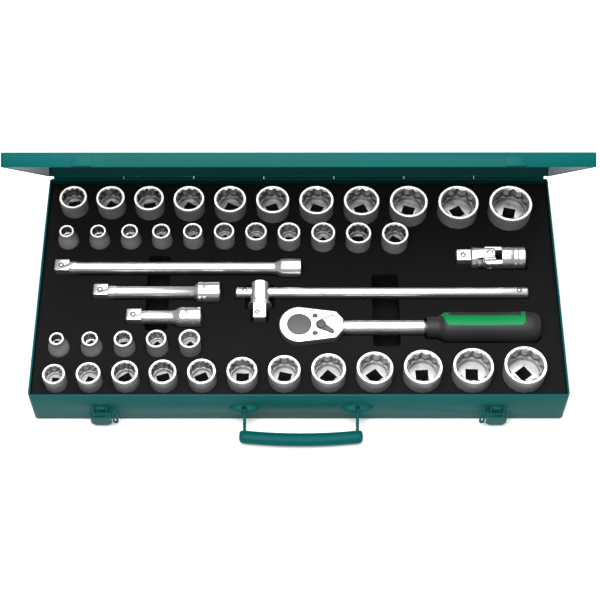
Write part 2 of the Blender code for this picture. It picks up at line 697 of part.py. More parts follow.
def make_universal_joint(chrome, steel):
    """Two forked yokes on a cross; everything here is measured from the crossing of the pins."""
    place = Matrix.Translation((JOINT_LEFT + JOINT_CENTRE, JOINT_Y, AXIS_Z))
    left = -JOINT_CENTRE
    right = JOINT_LENGTH - JOINT_CENTRE
    arm_end = JOINT_ARM / 2 - 0.0004
    rings = [
        square(HALF_SQUARE * 0.86, left, 16),
        square(HALF_SQUARE, left + 0.0010, 16),
        square(HALF_SQUARE, left + SQUARE_LENGTH, 16),
        circle(JOINT_RADIUS, left + SQUARE_LENGTH + 0.0012, 16),
        circle(JOINT_RADIUS, arm_end, 16),
    ]
    joint_yoke("joint_yoke_drive", rings, -0.0115, arm_end + 0.002, "Z", chrome, place)
    rings = [
        circle(JOINT_RADIUS, -arm_end, 16),
        circle(JOINT_RADIUS, right, 16),
        square(HALF_SQUARE + 0.0002, right, 16, 1.25),
        square(HALF_SQUARE + 0.0002, right - SQUARE_LENGTH - 0.001, 16, 1.25),
    ]
    joint_yoke("joint_yoke_socket", rings, -arm_end - 0.002, 0.0115, "Y", chrome, place)
    core = JOINT_SLOT / 2 - CLEARANCE
    cross = add("joint_cross", box((2 * core, 2 * core, 2 * core), (0, 0, 0)), steel, place)
    tip = JOINT_RADIUS - 0.0006
    unite(cross, rod(JOINT_PIN_RADIUS, (0, 0, -tip), (0, 0, tip), 12))
    unite(cross, rod(JOINT_PIN_RADIUS, (0, -tip, 0), (0, tip, 0), 12))


def make_foam(grey):
    """One block with a pocket under each tool, cut group by group."""
    inset = SHEET + CLEARANCE
    bottom = SHEET + CLEARANCE
    block = [
        rounded(CASE_WIDTH - 2 * inset, CASE_DEPTH - 2 * inset, CORNER_RADIUS - SHEET, z)
        for z in (bottom, FOAM_Z)
    ]
    foam = add("foam_insert", loft(block), grey)

    wells = []
    for name, size, x, y, length in socket_places():
        seat = max(socket_diameter(size), SOCKET_BASE) / 2
        heights = (MOUTH_Z - length - CLEARANCE, FOAM_Z + 0.01)
        well = loft([circle(seat + POCKET_GAP, z, WELL_SIDES) for z in heights])
        wells.append(turned(well, Matrix.Translation((x, y, 0))))
    cut(foam, join(wells))

    lanes = []
    for order, values in enumerate(EXTENSIONS.values()):
        length, left, shaft, head, head_length, taper = values
        y = LONG_EXTENSION_Y - order * EXTENSION_PITCH
        outline = [
            (left - POCKET_GAP, HALF_SQUARE + POCKET_GAP),
            (left + SQUARE_LENGTH - POCKET_GAP, HALF_SQUARE + POCKET_GAP),
            (left + SQUARE_LENGTH, COLLAR_RADIUS + POCKET_GAP),
            (left + length - head_length - taper - POCKET_GAP, max(COLLAR_RADIUS, shaft) + POCKET_GAP),
            (left + length - head_length - POCKET_GAP, head + POCKET_GAP),
            (left + length + POCKET_GAP, head + POCKET_GAP),
        ]
        lanes.append(lane(outline, y, AXIS_Z - head - POCKET_GAP))
    bar = BAR_RADIUS + POCKET_GAP
    lanes.append(
        lane([(BAR_LEFT - POCKET_GAP, bar), (BAR_LEFT + BAR_LENGTH + POCKET_GAP, bar)], BAR_Y, AXIS_Z - bar)
    )
    shaft = RATCHET_SHAFT_RADIUS + POCKET_GAP
    grip = GRIP_RADIUS + POCKET_GAP
    lanes.append(
        lane(
            [
                (RATCHET_X + RATCHET_NECK_X - 0.010, shaft), (GRIP_LEFT - POCKET_GAP, shaft),
                (GRIP_LEFT, grip * 0.72), (GRIP_LEFT + 0.012, grip * 0.75), (GRIP_LEFT + 0.020, grip),
                (GRIP_RIGHT - 0.004, grip), (GRIP_RIGHT + POCKET_GAP, grip * 0.7),
            ],
            RATCHET_Y, AXIS_Z - grip,
        )
    )
    half = HALF_SQUARE + POCKET_GAP
    hub = JOINT_RADIUS + POCKET_GAP
    swing_up = math.hypot(JOINT_LENGTH - JOINT_CENTRE, JOINT_RADIUS)
    end = JOINT_LEFT + JOINT_CENTRE + swing_up + POCKET_GAP
    swing = JOINT_SWING_SIDE * JOINT_LENGTH / 2
    lanes.append(
        lane(
            [
                (JOINT_LEFT - POCKET_GAP, half), (JOINT_LEFT + SQUARE_LENGTH - POCKET_GAP, half),
                (JOINT_LEFT + SQUARE_LENGTH, hub), (JOINT_LEFT + JOINT_CENTRE, hub + 0.0004), (end, hub + swing),
            ],
            JOINT_Y, AXIS_Z - hub - 0.0006,
        )
    )
    cut(foam, join(lanes))

    place = Matrix.Translation((RATCHET_X, RATCHET_Y, AXIS_Z))
    bottom = HEAD_TOP_ABOVE_AXIS - HEAD_THICKNESS - POCKET_GAP
    heads = [turned(plate(ratchet_outline(POCKET_GAP), bottom, 0.02), place)]
    slider_half = SLIDER_FLANGE_RADIUS + POCKET_GAP + SLIDER_TRAVEL
    square_half = HALF_SQUARE + POCKET_GAP + SLIDER_TRAVEL
    back = BAR_Y + SLIDER_BACK + POCKET_GAP
    flange = BAR_Y - SLIDER_FRONT - SLIDER_FLANGE - POCKET_GAP
    outline = [
        (SLIDER_X + slider_half, back), (SLIDER_X - slider_half, back), (SLIDER_X - slider_half, flange),
        (SLIDER_X - square_half, flange), (SLIDER_X - square_half, flange - SLIDER_SQUARE),
        (SLIDER_X + square_half, flange - SLIDER_SQUARE), (SLIDER_X + square_half, flange),
        (SLIDER_X + slider_half, flange),
    ]
    heads.append(plate(outline, AXIS_Z - SLIDER_FLANGE_RADIUS - POCKET_GAP, FOAM_Z + 0.01))
    cut(foam, join(heads))

    depth = bottom - SQUARE_LENGTH - 0.0020
    well = loft([circle(HALF_SQUARE * 1.42, depth, 16), circle(HALF_SQUARE * 1.42, bottom + 0.002, 16)])
    recesses = [turned(well, place)]
    for x, width, back, front in FINGER_RECESSES:
        shape = [rounded(width, back - front, 0.004, z) for z in (FOAM_Z - FINGER_DEPTH, FOAM_Z + 0.01)]
        recesses.append(turned(loft(shape), Matrix.Translation((x, (back + front) / 2, 0))))
    cut(foam, join(recesses))


def lane(half_outline, y, low):
    """A straight trough along X, given by half its plan outline."""
    outline = half_outline + [(x, -half) for x, half in reversed(half_outline)]
    return turned(plate(outline, low, FOAM_Z + 0.01), Matrix.Translation((0, y, 0)))


def main():
    for old in list(bpy.data.objects):
        bpy.data.objects.remove(old)
    chrome = material("satin_chrome", (0.80, 0.81, 0.82), 0.18, 1.0)
    steel = material("bright_steel", (0.55, 0.57, 0.58), 0.30, 1.0)
    paint = material("teal_paint", (0.02, 0.19, 0.18), 0.22, 0.0)
    foam = material("black_foam", (0.012, 0.012, 0.013), 0.95, 0.0)
    rubber = material("grip_rubber", (0.045, 0.045, 0.047), 0.55, 0.0)
    dark = material("dark_steel", (0.10, 0.10, 0.105), 0.40, 0.6)
    make_case(paint, steel)
    for side in (-1, 1):
        make_latch(side, paint)
    make_handle(paint)
    make_foam(foam)
    make_sockets(chrome)
    make_extensions(chrome)
    make_t_handle(chrome)
    make_ratchet(chrome, rubber, dark)
    make_universal_joint(chrome, steel)


main()
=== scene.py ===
import math

import bpy
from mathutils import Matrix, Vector


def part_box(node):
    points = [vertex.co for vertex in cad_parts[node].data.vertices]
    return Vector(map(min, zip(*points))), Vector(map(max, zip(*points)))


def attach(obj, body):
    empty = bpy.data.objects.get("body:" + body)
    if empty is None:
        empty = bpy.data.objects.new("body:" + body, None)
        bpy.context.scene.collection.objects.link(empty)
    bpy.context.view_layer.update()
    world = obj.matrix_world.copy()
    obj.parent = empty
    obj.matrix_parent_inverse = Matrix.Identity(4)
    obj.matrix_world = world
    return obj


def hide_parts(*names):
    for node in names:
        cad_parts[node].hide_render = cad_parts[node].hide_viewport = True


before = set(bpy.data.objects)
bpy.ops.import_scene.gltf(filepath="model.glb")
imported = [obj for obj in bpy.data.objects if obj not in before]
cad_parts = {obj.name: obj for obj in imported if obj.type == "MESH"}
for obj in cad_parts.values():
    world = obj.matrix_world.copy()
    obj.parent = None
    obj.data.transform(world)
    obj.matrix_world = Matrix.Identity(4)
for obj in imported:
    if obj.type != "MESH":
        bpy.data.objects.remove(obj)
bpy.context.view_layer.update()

inch = 0.0254
driveHalf = inch / 4  # half of the half-inch drive square
print("frame loaded")


# Small helpers that do what the hands do in the viewport

def onlyPick(piece):
    if bpy.context.object and bpy.context.object.mode != "OBJECT":
        bpy.ops.object.mode_set(mode="OBJECT")
    bpy.ops.object.select_all(action="DESELECT")
    piece.select_set(True)
    bpy.context.view_layer.objects.active = piece


def pickNothing():
    bpy.ops.object.select_all(action="DESELECT")


def named(name):
    piece = bpy.context.active_object
    piece.name = name
    piece.data.name = name
    return piece


def settle(piece):
    onlyPick(piece)
    bpy.ops.object.transform_apply(location=True, rotation=True, scale=True)
    return piece


def placed(piece, location=(0, 0, 0), rotation=(0, 0, 0)):
    piece.rotation_euler = [math.radians(a) for a in rotation]
    piece.location = location
    return settle(piece)


def clearMarks(piece):
    onlyPick(piece)
    mesh = piece.data
    for part in (mesh.vertices, mesh.edges, mesh.polygons):
        part.foreach_set("select", [False] * len(part))
    return mesh


def pickFaces(piece, test):
    for face in clearMarks(piece).polygons:
        face.select = test(face)
    bpy.ops.object.mode_set(mode="EDIT")
    bpy.ops.mesh.select_mode(type="FACE")


def pickPoints(piece, test):
    for point in clearMarks(piece).vertices:
        point.select = test(point)
    bpy.ops.object.mode_set(mode="EDIT")
    bpy.ops.mesh.select_mode(type="VERT")


def leaveEdit():
    bpy.ops.object.mode_set(mode="OBJECT")


def outward(piece):
    onlyPick(piece)
    bpy.ops.object.mode_set(mode="EDIT")
    bpy.ops.mesh.select_all(action="SELECT")
    bpy.ops.mesh.remove_doubles(threshold=0.000004)
    bpy.ops.mesh.normals_make_consistent(inside=False)
    bpy.ops.object.mode_set(mode="OBJECT")
    return piece


def block(name, size, centre):
    pickNothing()
    bpy.ops.mesh.primitive_cube_add(size=1.0, location=centre)
    piece = named(name)
    piece.scale = size
    return settle(piece)


def turnedPiece(name, profile, sides=48):
    # A solid turned about Z: a filled circle extruded and resized along the profile (radius, height).
    pickNothing()
    radius, height = profile[0]
    bpy.ops.mesh.primitive_circle_add(
        vertices=sides, radius=radius, fill_type="NGON", location=(0, 0, height)
    )
    piece = named(name)
    settle(piece)
    bpy.ops.object.mode_set(mode="EDIT")
    bpy.ops.mesh.select_mode(type="FACE")
    bpy.ops.mesh.select_all(action="SELECT")
    for nextRadius, nextHeight in profile[1:]:
        rise = (0, 0, nextHeight - height)
        bpy.ops.mesh.extrude_region_move(TRANSFORM_OT_translate={"value": rise})
        k = nextRadius / radius
        if abs(k - 1) > 1e-6:
            bpy.ops.transform.resize(value=(k, k, 1), center_override=(0, 0, nextHeight))
        radius, height = nextRadius, nextHeight
    leaveEdit()
    return outward(piece)


def useModifier(piece, kind, **values):
    onlyPick(piece)
    change = piece.modifiers.new(kind.lower(), kind)
    for key, value in values.items():
        setattr(change, key, value)
    bpy.ops.object.modifier_apply(modifier=change.name)
    return piece


def combine(piece, tool, operation):
    useModifier(piece, "BOOLEAN", operation=operation, solver="EXACT", object=tool)
    bpy.data.objects.remove(tool)
    return piece


def cutAway(piece, tool):
    return combine(piece, tool, "DIFFERENCE")


def weld(piece, tool):
    return combine(piece, tool, "UNION")


def softEdges(piece, width, segments=2, angle=32):
    useModifier(
        piece, "BEVEL", width=width, segments=segments, limit_method="ANGLE",
        angle_limit=math.radians(angle), harden_normals=False, use_clamp_overlap=True,
    )
    return smooth(piece)


def smooth(piece, angle=34):
    onlyPick(piece)
    bpy.ops.object.shade_smooth_by_angle(angle=math.radians(angle))
    return piece


def finish(piece, material, slot, body, *replaced):
    piece.data.materials.clear()
    piece.data.materials.append(material)
    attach(piece, body)
    if replaced:
        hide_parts(*replaced)
    return piece


def paintFaces(piece, material, test):
    # Gives the faces that pass the test a finish of their own.
    piece.data.materials.append(material)
    pickFaces(piece, test)
    piece.active_material_index = len(piece.data.materials) - 1
    bpy.ops.object.material_slot_assign()
    leaveEdit()


def middleOf(node):
    low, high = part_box(node)
    return (Vector(low) + Vector(high)) / 2


def sizeOf(node):
    low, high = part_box(node)
    return Vector(high) - Vector(low)


# Shader groups that more than one finish uses

def newGroup(name, inputs, outputs):
    group = bpy.data.node_groups.new(name, "ShaderNodeTree")
    for socketName, kind, value in inputs:
        made = group.interface.new_socket(name=socketName, in_out="INPUT", socket_type=kind)
        made.default_value = value
    for socketName, kind in outputs:
        group.interface.new_socket(name=socketName, in_out="OUTPUT", socket_type=kind)
    return group, group.nodes.new("NodeGroupInput"), group.nodes.new("NodeGroupOutput")


def surfaceGrain():
    # Fine grain and slow cloudiness over the object's own coordinates.
    group, given, result = newGroup(
        "surfaceGrain",
        [("Grain Scale", "NodeSocketFloat", 900.0), ("Cloud Scale", "NodeSocketFloat", 18.0),
         ("Stretch", "NodeSocketVector", (1.0, 1.0, 1.0))],
        [("Height", "NodeSocketFloat"), ("Cloud", "NodeSocketFloat")],
    )
    nodes, links = group.nodes, group.links
    coordinates = nodes.new("ShaderNodeTexCoord")
    stretched = nodes.new("ShaderNodeVectorMath")
    stretched.operation = "MULTIPLY"
    grain = nodes.new("ShaderNodeTexNoise")
    grain.inputs["Detail"].default_value = 3.0
    cloud = nodes.new("ShaderNodeTexNoise")
    cloud.inputs["Detail"].default_value = 4.0
    links.new(coordinates.outputs["Object"], stretched.inputs[0])
    links.new(given.outputs["Stretch"], stretched.inputs[1])
    links.new(stretched.outputs[0], grain.inputs["Vector"])
    links.new(given.outputs["Grain Scale"], grain.inputs["Scale"])
    links.new(coordinates.outputs["Object"], cloud.inputs["Vector"])
    links.new(given.outputs["Cloud Scale"], cloud.inputs["Scale"])
    links.new(grain.outputs["Fac"], result.inputs["Height"])
    links.new(cloud.outputs["Fac"], result.inputs["Cloud"])
    return group


grainGroup = surfaceGrain()


def newFinish(name, look):
    # A finish from its look: two tones mixed by cloudiness, a roughness band, and a fine bump.
    material = bpy.data.materials.new(name)
    material.use_nodes = True
    nodes, links = material.node_tree.nodes, material.node_tree.links
    shader = nodes["Principled BSDF"]
    shader.inputs["Metallic"].default_value = look.get("metallic", 0.0)
    shader.inputs["Specular IOR Level"].default_value = look.get("specular", 0.5)
    grain = nodes.new("ShaderNodeGroup")
    grain.node_tree = grainGroup
    grain.inputs["Grain Scale"].default_value = look["grainScale"]
    grain.inputs["Cloud Scale"].default_value = look.get("cloudScale", 18.0)
    grain.inputs["Stretch"].default_value = look.get("stretch", (1, 1, 1))
    tone = nodes.new("ShaderNodeValToRGB")
    tone.color_ramp.elements[0].position = 0.3
    tone.color_ramp.elements[1].position = 0.7
    tone.color_ramp.elements[0].color = (*look["dark"], 1)
    tone.color_ramp.elements[1].color = (*look["light"], 1)
    rough = nodes.new("ShaderNodeMapRange")
    rough.inputs["To Min"].default_value = look["roughness"][0]
    rough.inputs["To Max"].default_value = look["roughness"][1]
    bump = nodes.new("ShaderNodeBump")
    bump.inputs["Strength"].default_value = look["bump"]
    bump.inputs["Distance"].default_value = look.get("bumpDepth", 0.0001)
    links.new(grain.outputs["Cloud"], tone.inputs["Fac"])
    links.new(tone.outputs["Color"], shader.inputs["Base Color"])
    links.new(grain.outputs["Cloud"], rough.inputs["Value"])
    links.new(rough.outputs["Result"], shader.inputs["Roughness"])
    links.new(grain.outputs["Height"], bump.inputs["Height"])
    links.new(bump.outputs["Normal"], shader.inputs["Normal"])
    return material


finishLooks = {
    "tealPaint": {
        "dark": (0.0, 0.062, 0.060), "light": (0.0, 0.072, 0.068), "roughness": (0.36, 0.44),
        "specular": 0.06, "grainScale": 900.0, "cloudScale": 9.0, "bump": 0.10,
    },
    "satinChrome": {
        "dark": (0.80, 0.80, 0.80), "light": (0.90, 0.90, 0.89), "roughness": (0.13, 0.20), "metallic": 1.0,
        "grainScale": 1800.0, "cloudScale": 60.0, "bump": 0.05,
    },
    "groundChrome": {
        "dark": (0.58, 0.58, 0.58), "light": (0.66, 0.66, 0.655), "roughness": (0.22, 0.28),
        "metallic": 0.94, "grainScale": 1500.0, "cloudScale": 70.0, "bump": 0.06,
    },
    "wallChrome": {
        "dark": (0.40, 0.40, 0.40), "light": (0.50, 0.50, 0.495), "roughness": (0.28, 0.36),
        "metallic": 0.62, "grainScale": 1500.0, "cloudScale": 90.0, "bump": 0.06, "stretch": (1, 1, 0.15),
    },
    # painted shade: a darker copy of the socket chrome for the bore walls, standing for the shade inside the
    # bore
    "paintedShadeBoreChrome": {
        "dark": (0.17, 0.17, 0.17), "light": (0.24, 0.24, 0.235), "roughness": (0.30, 0.40),
        "metallic": 0.92, "grainScale": 1500.0, "cloudScale": 90.0, "bump": 0.08,
    },
    # painted highlight: a paler, less metallic copy of the socket chrome for the up-facing rims, standing for
    # the bright reflection on their tops
    "paintedHighlightRimChrome": {
        "dark": (0.86, 0.86, 0.86), "light": (0.94, 0.94, 0.935), "roughness": (0.28, 0.36),
        "metallic": 0.45, "grainScale": 1500.0, "cloudScale": 70.0, "bump": 0.05,
    },
    "brightWire": {
        "dark": (0.42, 0.46, 0.46), "light": (0.60, 0.63, 0.62), "roughness": (0.22, 0.32), "metallic": 1.0,
        "grainScale": 1500.0, "bump": 0.06,
    },
    "blackFoam": {
        "dark": (0.0035, 0.0035, 0.0038), "light": (0.0055, 0.0055, 0.0058), "roughness": (0.72, 0.82),
        "grainScale": 1500.0, "cloudScale": 14.0, "bump": 0.55, "bumpDepth": 0.0003, "specular": 0.10,
    },
    "gripRubber": {
        "dark": (0.012, 0.012, 0.013), "light": (0.016, 0.016, 0.017), "roughness": (0.46, 0.55),
        "grainScale": 1300.0, "bump": 0.30, "specular": 0.30,
    },
    "greenInlay": {
        "dark": (0.0, 0.185, 0.050), "light": (0.0, 0.205, 0.056), "roughness": (0.40, 0.48),
        "grainScale": 1500.0, "bump": 0.10, "specular": 0.15,
    },
    "blackenedSteel": {
        "dark": (0.045, 0.045, 0.05), "light": (0.065, 0.065, 0.07), "roughness": (0.34, 0.45),
        "metallic": 0.5, "grainScale": 1700.0, "bump": 0.15,
    },
    "greyDisc": {
        "dark": (0.085, 0.085, 0.090), "light": (0.100, 0.100, 0.105), "roughness": (0.42, 0.5),
        "metallic": 0.2, "grainScale": 2200.0, "bump": 0.12, "specular": 0.25,
    },
}
finishes = {name: newFinish(name, look) for name, look in finishLooks.items()}
print("finishes made")


# Sockets

socketLook = {
    "wallOffset": 0.0029,
    "wallRatio": 1.24,
    "pointDepth": 0.0105,  # how far the twelve points run down
    "floorDepth": 0.0185,
    "rimChamfer": 0.0006,
    "leadIn": 0.0016,
    "sides": 72,
    "firstTurn": 17.0,
    "nextTurn": 47.0,  # each one lies a little further round than the last
}


def sizeFromName(node):
    words = node.split("_")[1:]
    if words[0].endswith("mm"):
        return float(words[0][:-2]) / 1000
    return float(words[0]) / float(words[1][:-2]) * inch


def pointedCutter(outer, inner, low, high):
    # Twelve points: every other corner of a circle is pulled in, then the shape is drawn upwards.
    pickNothing()
    bpy.ops.mesh.primitive_circle_add(
        vertices=24, radius=outer, fill_type="NGON", location=(0, 0, low)
    )
    cutter = settle(named("cutter"))
    step = math.radians(15)
    pickPoints(cutter, lambda point: round(math.atan2(point.co.y, point.co.x) / step) % 2 == 1)
    k = inner / outer
    bpy.ops.transform.resize(value=(k, k, 1), center_override=(0, 0, low))
    bpy.ops.mesh.select_all(action="SELECT")
    bpy.ops.mesh.select_mode(type="FACE")
    bpy.ops.mesh.extrude_region_move(TRANSFORM_OT_translate={"value": (0, 0, high - low)})
    leaveEdit()
    return outward(cutter)


def makeSocket(node, count):
    look = socketLook
    size = sizeFromName(node)
    centre = middleOf(node)
    extent = sizeOf(node)
    top = extent.z / 2
    mouth = (look["wallOffset"] + look["wallRatio"] * size) / 2
    seat = extent.x / 2
    chamfer = look["rimChamfer"]
    profile = [(seat - 0.0008, -top), (seat, -top + 0.0008)]
    if seat - mouth > 0.0004:
        # the drive end flares out below a short neck
        flare = seat - mouth
        profile += [
            (seat, -top + 0.0215), (seat - 0.12 * flare, -top + 0.0235), (seat - 0.45 * flare, -top + 0.0270),
            (seat - 0.82 * flare, -top + 0.0305), (mouth, -top + 0.0330),
        ]
    profile += [(mouth, top - chamfer), (mouth - chamfer * 0.8, top)]
    piece = turnedPiece(node + "Body", profile, look["sides"])
    outer = size / 2 / math.cos(math.radians(30))
    inner = size / 2 / math.cos(math.radians(15)) * 0.985
    pointEnd = top - min(look["pointDepth"], 0.55 * size + 0.004)
    floor = top - min(look["floorDepth"], 0.45 * size + 0.008)
    cutAway(piece, pointedCutter(outer, inner, pointEnd, top + 0.01))
    lead = look["leadIn"] * min(1.0, 0.45 + size * 16)
    spread = (outer * 1.012 - inner) / lead
    above = 0.002
    cone = [
        (inner * 0.6, top - lead * 1.6), (inner, top - lead), (outer * 1.012 + spread * above, top + above),
    ]
    cutAway(piece, turnedPiece("cutter", cone))
    relief = min(outer + 0.0002, mouth - 0.0012)
    below = [(inner - 0.0006, floor), (inner - 0.0004, pointEnd - 0.0022), (relief, pointEnd - 0.0018),
             (relief, pointEnd + 0.0003)]
    cutAway(piece, turnedPiece("cutter", below))
    half = driveHalf if inner > driveHalf * 1.5 else driveHalf * 0.6
    depth = floor + top + 0.013
    cutAway(piece, block("cutter", (2 * half, 2 * half, depth), (0, 0, floor + 0.003 - depth / 2)))
    smooth(piece, 25)
    placed(piece, (0, 0, 0), (0, 0, look["firstTurn"] + look["nextTurn"] * count))
    piece.data.materials.append(finishes["wallChrome"])
    bore = mouth - 0.0011

    def inside(face):
        return math.hypot(face.center.x, face.center.y) < bore and face.center.z < top - 0.0006

    def bottom(face):
        return inside(face) and face.normal.z > 0.9 and face.center.z < floor + 0.001

    def rim(face):
        return face.center.z > top - 0.0020 and face.normal.z > 0.9

    # painted shade: the bore walls take the darker chrome; the bore floor goes back to the wall finish and
    # reads lighter than them
    paintFaces(piece, finishes["paintedShadeBoreChrome"], inside)
    paintFaces(piece, finishes["wallChrome"], bottom)
    # painted highlight on the up-facing rim faces
    paintFaces(piece, finishes["paintedHighlightRimChrome"], rim)
    placed(piece, centre)
    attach(piece, node)
    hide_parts(node)
    return piece


for count, node in enumerate(sorted(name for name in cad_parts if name.startswith("socket_"))):
    makeSocket(node, count)
print("sockets made")


# Long tools lie along X; each profile is drawn from the left end

def alongX(piece, x, y, z, turn=0):
    # Stands up along +Z; laid down so that it runs to +X from its left end.
    placed(piece, (0, 0, 0), (0, 0, turn))
    return placed(piece, (x, y, z), (0, 90, 0))


toolAxis = 0.045
squareLook = {
    "length": 0.0148, "chamfer": 0.0011, "tipScale": 0.84, "ballAt": 0.0072, "holeGap": 0.0004,
    "holeDepth": 0.0160, "jointHoleDepth": 0.0158, "grooveWidth": 0.0009,
}


def squareStub(low, high, tip):
    # A square peg along Z; its free end, up (1) or down (-1), draws in over a short chamfer
    chamfer, k = squareLook["chamfer"], squareLook["tipScale"]
    start, stop = (low, high - chamfer) if tip > 0 else (low + chamfer, high)
    stub = block("stub", (2 * driveHalf, 2 * driveHalf, stop - start), (0, 0, (start + stop) / 2))
    pickFaces(stub, lambda face: face.normal.z * tip > 0.9)
    bpy.ops.mesh.extrude_region_move(TRANSFORM_OT_translate={"value": (0, 0, chamfer * tip)})
    bpy.ops.transform.resize(value=(k, k, 1), center_override=(0, 0, high if tip > 0 else low))
    leaveEdit()
    return stub


def detent(name, x, y, z, body, radius=0.0022, rise=0.0009):
    # A spring ball set in a face that looks up, with a dark ring of painted shade round it standing for the
    # shaded gap of its hole.
    pickNothing()
    bpy.ops.mesh.primitive_torus_add(
        major_segments=32, minor_segments=8, major_radius=radius * 1.12, minor_radius=radius * 0.24,
        location=(x, y, z),
    )
    seat = settle(named(name + "ShadeRing"))
    smooth(seat)
    # painted shade: the dark steel ring stands for the shaded gap round the ball
    finish(seat, finishes["blackenedSteel"], "dark_steel", body)
    pickNothing()
    bpy.ops.mesh.primitive_uv_sphere_add(
        segments=24, ring_count=12, radius=radius, location=(x, y, z + rise - radius)
    )
    ball = settle(named(name + "Ball"))
    smooth(ball, 60)
    finish(ball, finishes["satinChrome"], "chrome", body)


extensionLooks = {
    "extension_long": {
        "shaft": 0.00635, "head": 0.0100, "headLength": 0.0205, "taper": 0.0080, "groove": None,
    },
    "extension_medium": {
        "shaft": 0.00635, "head": 0.0108, "headLength": 0.0225, "taper": 0.0052, "groove": 0.0046,
    },
    "extension_short": {
        "shaft": 0.0070, "head": 0.0106, "headLength": 0.0215, "taper": 0.0077, "groove": 0.0050,
    },
}


def cutGroove(piece, radius, at, width, depth):
    # A shallow ring turned into a barrel that stands along Z
    ring = turnedPiece("ring", [(radius + 0.001, at), (radius + 0.001, at + width)], 64)
    core = turnedPiece("core", [(radius - depth, at - 0.01), (radius - depth, at + 0.01)], 64)
    cutAway(ring, core)
    cutAway(piece, ring)


def cutSquareHole(piece, end, depth):
    side = 2 * driveHalf + squareLook["holeGap"]
    cutAway(piece, block("hole", (side, side, 2 * depth), (0, 0, end)))


def makeExtension(node, look):
    low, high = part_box(node)
    length = high[0] - low[0]
    y = (low[1] + high[1]) / 2
    start = length - look["headLength"]
    shaft, head = look["shaft"], look["head"]
    squareEnd = squareLook["length"]
    collarEnd = squareEnd + 0.0083
    profile = [
        (0.0052, squareEnd - 0.0004), (0.0070, squareEnd + 0.0008), (0.0070, collarEnd - 0.0004),
        (shaft + 0.0001, collarEnd + 0.0004), (shaft, collarEnd + 0.0016),
        (shaft, start - look["taper"]), (shaft * 0.75 + head * 0.25, start - look["taper"] * 0.62),
        (shaft * 0.2 + head * 0.8, start - look["taper"] * 0.16), (head, start + 0.0006),
        (head, length - 0.0007), (head - 0.0007, length),
    ]
    piece = turnedPiece(node + "Body", profile, 64)
    weld(piece, squareStub(0, squareEnd + 0.0004, -1))
    if look["groove"]:
        cutGroove(piece, head, start + look["groove"], squareLook["grooveWidth"], 0.0004)
    cutSquareHole(piece, length, squareLook["holeDepth"])
    softEdges(piece, 0.0003, 2, 30)
    alongX(piece, low[0], y, toolAxis)
    finish(piece, finishes["groundChrome"], "chrome", node, node)
    detent(node, low[0] + squareLook["ballAt"], y, toolAxis + driveHalf, node)


for node, look in extensionLooks.items():
    makeExtension(node, look)
print("extensions made")


# The sliding T-handle

barLook = {"radius": 0.0056, "chamfer": 0.0012, "ballInset": 0.0095, "ball": 0.0021}


def makeBar(node):
    low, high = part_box(node)
    y = (low[1] + high[1]) / 2
    r, c = barLook["radius"], barLook["chamfer"]
    length = high[0] - low[0]
    piece = turnedPiece(node + "Body", [(r - c, 0), (r, c), (r, length - c), (r - c, length)], 48)
    softEdges(piece, 0.0004, 2, 30)
    alongX(piece, low[0], y, toolAxis)
    finish(piece, finishes["groundChrome"], "chrome", node, node)
    for side, x in (("Left", low[0] + barLook["ballInset"]), ("Right", high[0] - barLook["ballInset"])):
        detent(node + side, x, y, toolAxis + r - 0.0001, node, barLook["ball"], 0.0007)


sliderLook = {
    "radius": 0.0100, "flange": 0.0122, "flangeWidth": 0.0030, "back": 0.0100, "front": 0.0140,
    "square": 0.0160, "flatTop": 0.0088, "sideFlat": 0.0093,
}


def makeSlider(node, barNode):
    look = sliderLook
    low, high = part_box(node)
    x = (low[0] + high[0]) / 2
    barLow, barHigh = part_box(barNode)
    y = (barLow[1] + barHigh[1]) / 2
    body = look["back"] + look["front"]
    flangeEnd = body + look["flangeWidth"]
    r, f = look["radius"], look["flange"]
    profile = [
        (r - 0.0010, 0), (r, 0.0010), (r, body), (f - 0.0004, body + 0.0004), (f, body + 0.0009),
        (f, flangeEnd - 0.0006), (f - 0.0008, flangeEnd),
    ]
    piece = turnedPiece(node + "Body", profile, 64)
    # flats milled along the barrel, upwards and to both sides
    flatLength = body - 0.003
    for side in (-1, 1):
        centre = (side * (look["sideFlat"] + 0.005), 0, flatLength / 2 - 0.0005)
        cutAway(piece, block("flat", (0.01, 0.05, flatLength), centre))
    weld(piece, squareStub(flangeEnd - 0.001, flangeEnd + look["square"], 1))
    placed(piece, (0, 0, 0), (90, 0, 0))
    placed(piece, (x, y + look["back"], toolAxis))
    topLength = body - 0.004
    centre = (x, y + look["back"] - topLength / 2, toolAxis + look["flatTop"] + 0.005)
    cutAway(piece, block("top", (0.05, topLength, 0.01), centre))
    hole = barLook["radius"] + 0.0003
    bore = turnedPiece("bore", [(hole, -0.03), (hole, 0.03)], 48)
    alongX(bore, x, y, toolAxis)
    cutAway(piece, bore)
    softEdges(piece, 0.0003, 2, 30)
    finish(piece, finishes["groundChrome"], "chrome", node, node)
    ballY = y + look["back"] - flangeEnd - 0.0095
    detent(node, x - 0.0022, ballY, toolAxis + driveHalf, node, 0.0018, 0.0007)


makeBar("t_handle_bar")
makeSlider("t_handle_slider", "t_handle_bar")
print("t handle made")


# The ratchet: a flat pear-shaped head, a round shaft and a moulded grip

ratchetLook = {
    "x": 0.0004, "y": -0.0504, "head": 0.0204, "top": 0.0070, "thickness": 0.0180,
    "shoulderX": 0.0365, "shoulder": 0.0158, "shaft": 0.0075, "shaftEnd": 0.1276,
    "disc": 0.0118, "topBevel": 0.0012,
    "leverX": 0.0222, "boss": 0.0049, "reach": 0.0150, "recess": 0.0030, "swing": 72.0,
    "screwX": 0.0160, "screwY": 0.0101, "screw": 0.0029,
}


